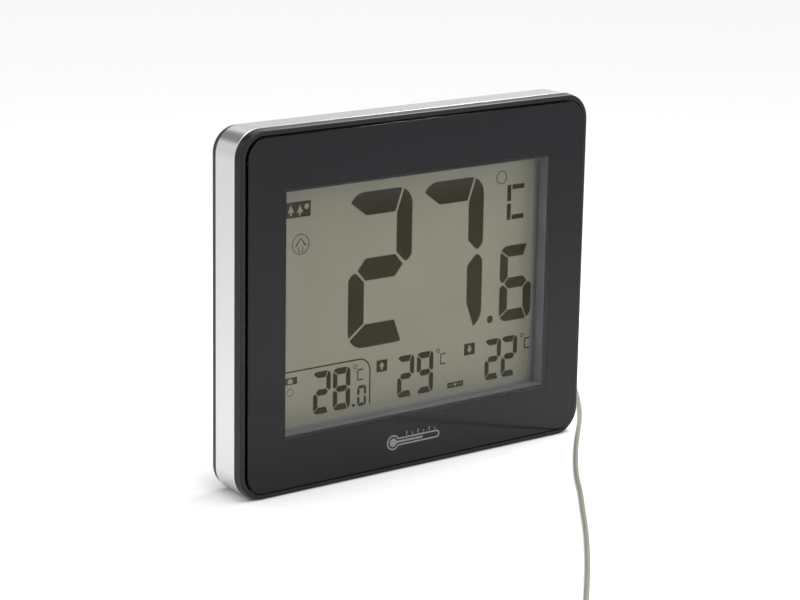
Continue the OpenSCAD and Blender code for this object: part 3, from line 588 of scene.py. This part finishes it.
def display_cell():
    """The two glasses, their seal and the front film as one clear block, so that only its outside
    meets the light. The front glass stands past the back one as the contact ledge."""
    near, front_glass, back_glass = (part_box(name) for name in
                                     ("front_polariser", "lcd_front_glass", "lcd_back_glass"))
    low, high, ledge = front_glass[0][2], front_glass[1][2], back_glass[1][2]
    front, step, back = near[0][1], front_glass[1][1], back_glass[1][1] - 0.01 * MM
    outline = [(low, front), (high, front), (high, step), (ledge, step), (ledge, back), (low, back)]
    mesh = bmesh.new()
    sides = [[mesh.verts.new((corner[0], y, z)) for z, y in outline] for corner in front_glass]
    mesh.faces.new(sides[0])
    mesh.faces.new(sides[1][::-1])
    for i in range(len(outline)):
        j = (i + 1) % len(outline)
        mesh.faces.new((sides[0][j], sides[0][i], sides[1][i], sides[1][j]))
    bmesh.ops.recalc_face_normals(mesh, faces=mesh.faces)
    bmesh.ops.bevel(mesh, geom=mesh.edges[:], offset=0.15 * MM, segments=2, affect="EDGES", profile=0.5)
    return link("display_cell", smooth_faces(finished_mesh(mesh, "display_cell")))


cell = display_cell()
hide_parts("front_polariser", "lcd_front_glass", "lcd_seal", "lcd_back_glass")


# ---- printed mark on the front panel --------------------------------------

def arc_points(x, y, r, start, end, count):
    """Points on an arc about x, y from one angle to another, in degrees."""
    return [(x + r * math.cos(math.radians(start + (end - start) * i / count)),
             y + r * math.sin(math.radians(start + (end - start) * i / count))) for i in range(count + 1)]


def add_plate(mesh, outline, hole, front, back):
    """A thin plate between two depths, as a strip between two outlines or filled to the middle."""
    lines = (outline, hole) if hole else (outline,)
    rings = [[mesh.verts.new(plan_point(x, y, d)) for x, y in line] for line in lines for d in (front, back)]
    count = len(outline)
    if not hole:
        mesh.faces.new(rings[0])
        mesh.faces.new(rings[1][::-1])
    for i in range(count):
        j = (i + 1) % count
        mesh.faces.new((rings[0][i], rings[1][i], rings[1][j], rings[0][j]))
        if hole:
            mesh.faces.new((rings[2][j], rings[3][j], rings[3][i], rings[2][i]))
            mesh.faces.new((rings[2][i], rings[0][i], rings[0][j], rings[2][j]))
            mesh.faces.new((rings[3][j], rings[1][j], rings[1][i], rings[3][i]))


def thermometer_outline(x, y, length, bulb_r, tube_r):
    """A thermometer lying on its side, its bulb at x, y and its tube running to the right."""
    meet = math.degrees(math.asin(tube_r / bulb_r))
    return (arc_points(x, y, bulb_r, meet, 360 - meet, 24)
            + arc_points(x + length - tube_r, y, tube_r, -90, 90, 12))


MARK_AT = (-9.0, -42.0)     # the bulb's middle, right and up from the case's middle
TICK = 0.3                  # width of a scale mark


def panel_mark():
    """A small thermometer printed in light grey below the window."""
    x, y = MARK_AT
    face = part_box("front_panel")[0][1] / MM - RIM_Y
    front, back = face - 0.03, face + 0.01
    mesh = bmesh.new()
    add_plate(mesh, thermometer_outline(x, y, 16.5, 2.2, 1.15),
              thermometer_outline(x, y, 16.05, 1.75, 0.7), front, back)
    add_plate(mesh, thermometer_outline(x, y, 10.5, 1.25, 0.3), None, front, back)
    for i in range(6):
        left, foot, top = x + 4.6 + 2 * i, y + 1.5, y + (2.6 if i % 2 == 0 else 2.1)
        add_plate(mesh, [(left, foot), (left + TICK, foot), (left + TICK, top), (left, top)],
                  None, front, back)
    bmesh.ops.recalc_face_normals(mesh, faces=mesh.faces)
    return link("panel_mark", finished_mesh(mesh, "panel_mark"))


mark = panel_mark()


# ---- twist tie round the coil ---------------------------------------------

def ribbon_profile(width, thick, wire_r):
    """A flat ribbon with a wire along its middle, as seen end on."""
    half, flat = width / 2, thick / 2
    upper = [(half, -flat), (half, flat), (wire_r * 1.5, flat)]
    upper += arc_points(0, 0, wire_r, 50, 130, 2)
    upper += [(-wire_r * 1.5, flat)]
    return [(w * MM, t * MM) for w, t in upper + [(-w, -t) for w, t in upper]]


def twist_tie():
    """A plastic ribbon with a wire core, closed round the bundle and twisted on its outer side."""
    left, right, low, high, corner, bends = -42.6, -32.75, 0.4, 9.35, 1.1, 6
    y = COIL_AT[1]
    mesh = bmesh.new()
    profile = ribbon_profile(3.0, 0.34, 0.34)
    loop, frames = [], []
    for cx, cz, start in ((right - corner, high - corner, 0), (left + corner, high - corner, 90),
                          (left + corner, low + corner, 180), (right - corner, low + corner, 270)):
        for i in range(bends + 1):
            turn = math.radians(start + 90 * i / bends)
            out = Vector((math.cos(turn), 0, math.sin(turn)))
            loop.append((Vector((cx, y, cz)) + out * corner) * MM)
            frames.append((Vector((0, 1, 0)), out))
    swept(mesh, loop, frames, profile, closed=True)
    twists, steps, length, apart = 2.5, 48, 9.5, 0.36
    for side in (-1, 1):
        path, frames = [], []
        for i in range(steps + 1):
            s = i / steps
            turn = math.radians(90 + 360 * twists * s)
            droop = 4.9 - 3.3 * ease(s)
            wide = Vector((0, math.sin(turn), math.cos(turn)))
            thick = Vector((0, -math.cos(turn), math.sin(turn)))
            middle = Vector((right + 0.1 + length * s, y, droop))
            path.append((middle + thick * side * apart) * MM)
            frames.append((wide, thick))
        swept(mesh, path, frames, ribbon_profile(2.2, 0.34, 0.33))
    bmesh.ops.recalc_face_normals(mesh, faces=mesh.faces)
    return link("twist_tie", smooth_faces(finished_mesh(mesh, "twist_tie"), 50))


tie = twist_tie()
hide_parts("lead_tie")


# ---- finishes for the CAD nodes -------------------------------------------

WINDOW_MIDDLE, WINDOW_HALF = (0.4, 50.05), (45.6, 33.7)     # the clear window in the print, x and z
LEAD_GREY = (0.188, 0.182, 0.145)
ZINC = (0.42, 0.42, 0.44)

FINISHES = {
    "front_bezel": gloss_plastic("gloss_black", (0.0045, 0.0045, 0.005), 0.15, specular=0.3),
    "front_panel": windowed_cover("clear_acrylic", 0.09, (0.985, 0.99, 0.985),
                                  WINDOW_MIDDLE, WINDOW_HALF, shine=0.62),
    "panel_print": printed_film("black_print", PRINT_BLACK, specular=0.09),
    "panel_tape": soft_rubber("tape_foam", (0.012, 0.012, 0.012), 0.8),
    "side_band": satin_silver("satin_silver"),
    "back_cover": eroded_plastic("eroded_black", (0.016, 0.016, 0.017)),
    "battery_door": eroded_plastic("eroded_black_door", (0.0175, 0.0175, 0.018), grain=0.3),
    "stand": eroded_plastic("eroded_black_stand", (0.0165, 0.0165, 0.0175),
                            grain=0.26, depth=0.012, roughness=0.44),
    "lcd_shroud": eroded_plastic("shroud_grey", (0.075, 0.078, 0.085),
                                 grain=0.22, depth=0.008, roughness=0.55),
    "lcd_reflector": reflective_film("reflective_film", WINDOW_MIDDLE, WINDOW_HALF, 3.2),
    "zebra_strip": layered_rubber("zebra_rubber"),
    "circuit_board": solder_mask("solder_mask"),
    "chip_blob": gloss_plastic("potting_resin", (0.006, 0.006, 0.006), 0.25),
    "crystal": bright_metal("crystal_can", (0.62, 0.62, 0.62), 0.3),
    "capacitors": gloss_plastic("capacitor_sleeve", (0.02, 0.035, 0.1), 0.3),
    "chip_resistors": gloss_plastic("chip_parts", (0.02, 0.018, 0.015), 0.35),
    "switch_bodies": bright_metal("switch_cases", (0.55, 0.55, 0.55), 0.35),
    "room_thermistor": gloss_plastic("thermistor_bead", (0.012, 0.018, 0.024), 0.3),
    "battery_upper": cell_jacket("cell_upper_jacket", 2.4, 1),
    "battery_lower": cell_jacket("cell_lower_jacket", -2.4, -1),
    "battery_springs": bright_metal("spring_wire", (0.6, 0.6, 0.59), 0.28),
    "battery_plates": bright_metal("contact_plate", (0.62, 0.61, 0.58), 0.3, stretch=(1, 0.1, 1)),
    "battery_wires": soft_rubber("wire_sleeve", (0.35, 0.02, 0.015), 0.45),
    "case_screws": bright_metal("zinc_screw", ZINC, 0.32),
    "board_screws": bright_metal("zinc_screw_small", ZINC, 0.34),
    "lead_grommet": flexible_pvc("grommet_pvc", LEAD_GREY),
    "inner_lead": flexible_pvc("inner_lead_pvc", LEAD_GREY),
    "probe_collar": soft_rubber("collar_moulding", (0.014, 0.014, 0.015), 0.45),
    "probe_sleeve": bright_metal("stainless_tube", (0.6, 0.59, 0.57), 0.2, grain=0.1, stretch=(0.05, 1, 1)),
}
INK = display_ink("crystal_ink")
for name in ("outdoor_digits", "room_digits", "high_digits", "low_digits", "lcd_symbols"):
    FINISHES[name] = INK
    NODES[name].visible_shadow = False      # as in the photo, the film behind shows no shadow of them
    NODES[name].visible_diffuse = False
CAP = eroded_plastic("cap_grey", (0.2, 0.2, 0.205), grain=0.2, depth=0.006, roughness=0.5)
NYLON = soft_rubber("plunger_nylon", (0.012, 0.012, 0.012), 0.4)
for name in ("record", "reset", "unit"):
    FINISHES["button_" + name] = CAP
    FINISHES["plunger_" + name] = NYLON


def dress(obj, material):
    """Give an object this material alone."""
    obj.data.materials.clear()
    obj.data.materials.append(material)


for name, material in FINISHES.items():
    if not NODES[name].hide_render:
        dress(NODES[name], material)
dress(lead, flexible_pvc("lead_pvc", LEAD_GREY))
dress(cell, clear_cover("polarised_glass", 0.3, (0.93, 0.935, 0.9), ior=1.45, shine=0.12))
dress(mark, printed_film("grey_print", (0.18, 0.18, 0.187), light=1.1))
dress(tie, soft_rubber("tie_plastic", (0.010, 0.010, 0.011), 0.4))


# ---- studio ---------------------------------------------------------------

def add_floor():
    """A plain pale floor, large enough to reach the horizon."""
    mesh = bmesh.new()
    bmesh.ops.create_grid(mesh, x_segments=8, y_segments=8, size=30)
    floor = bpy.data.objects.new("floor", finished_mesh(mesh, "floor"))
    bpy.context.scene.collection.objects.link(floor)
    look = Look("floor_paper", (0.86, 0.86, 0.86), 0.9, specular=0.1)
    fibre = look.noise(3, detail=4)
    look.colour(look.mix(look.ramp(fibre, (0.3, 0.0), (0.7, 1.0)),
                         (0.85, 0.85, 0.85), (0.87, 0.87, 0.87)))
    floor.data.materials.append(look.material)


SCREEN_WAY = (-0.17, 0.78, 0.6)     # where the dark screen stands, seen from the object
ROOM_LIGHT = 1.3


def add_world():
    """A white room, brightest at the ceiling, with one dark screen high behind the left corner."""
    world = bpy.data.worlds.new("studio")
    bpy.context.scene.world = world
    world.use_nodes = True
    nodes, links = world.node_tree.nodes, world.node_tree.links
    way = nodes.new("ShaderNodeTexCoord").outputs["Generated"]
    height = nodes.new("ShaderNodeSeparateXYZ")
    links.new(way, height.inputs[0])
    screen = nodes.new("ShaderNodeVectorMath")
    screen.operation = "DOT_PRODUCT"
    links.new(way, screen.inputs[0])
    screen.inputs[1].default_value = SCREEN_WAY
    room = add_ramp(nodes, links, height.outputs[2], ((0.0, 0.64), (0.4, 0.68), (0.85, 1.0)))
    gap = add_ramp(nodes, links, screen.outputs["Value"], ((0.935, 1.0), (0.978, 0.17)))
    shade = nodes.new("ShaderNodeMath")
    shade.operation = "MULTIPLY"
    links.new(room, shade.inputs[0])
    links.new(gap, shade.inputs[1])
    links.new(shade.outputs[0], nodes["Background"].inputs["Color"])
    nodes["Background"].inputs["Strength"].default_value = ROOM_LIGHT


def add_softbox(name, at, aim, size, power):
    """A rectangular light that the camera doesn't see. Metres and watts."""
    data = bpy.data.lights.new(name, "AREA")
    data.shape = "RECTANGLE"
    data.size, data.size_y = size
    data.energy = power
    box = bpy.data.objects.new(name, data)
    box.location = at
    box.visible_camera = False
    box.rotation_euler = (Vector(aim) - Vector(at)).to_track_quat("-Z", "Y").to_euler()
    bpy.context.scene.collection.objects.link(box)


add_floor()
add_world()
add_softbox("right", (0.15, 0.02, 0.27), (0.08, -0.02, 0.0), (0.14, 0.14), 0.65)
add_softbox("front_top", (0.03, -0.25, 0.5), (0.0, 0.0, 0.0), (0.4, 0.3), 0.9)
bpy.context.scene.view_settings.view_transform = "Standard"
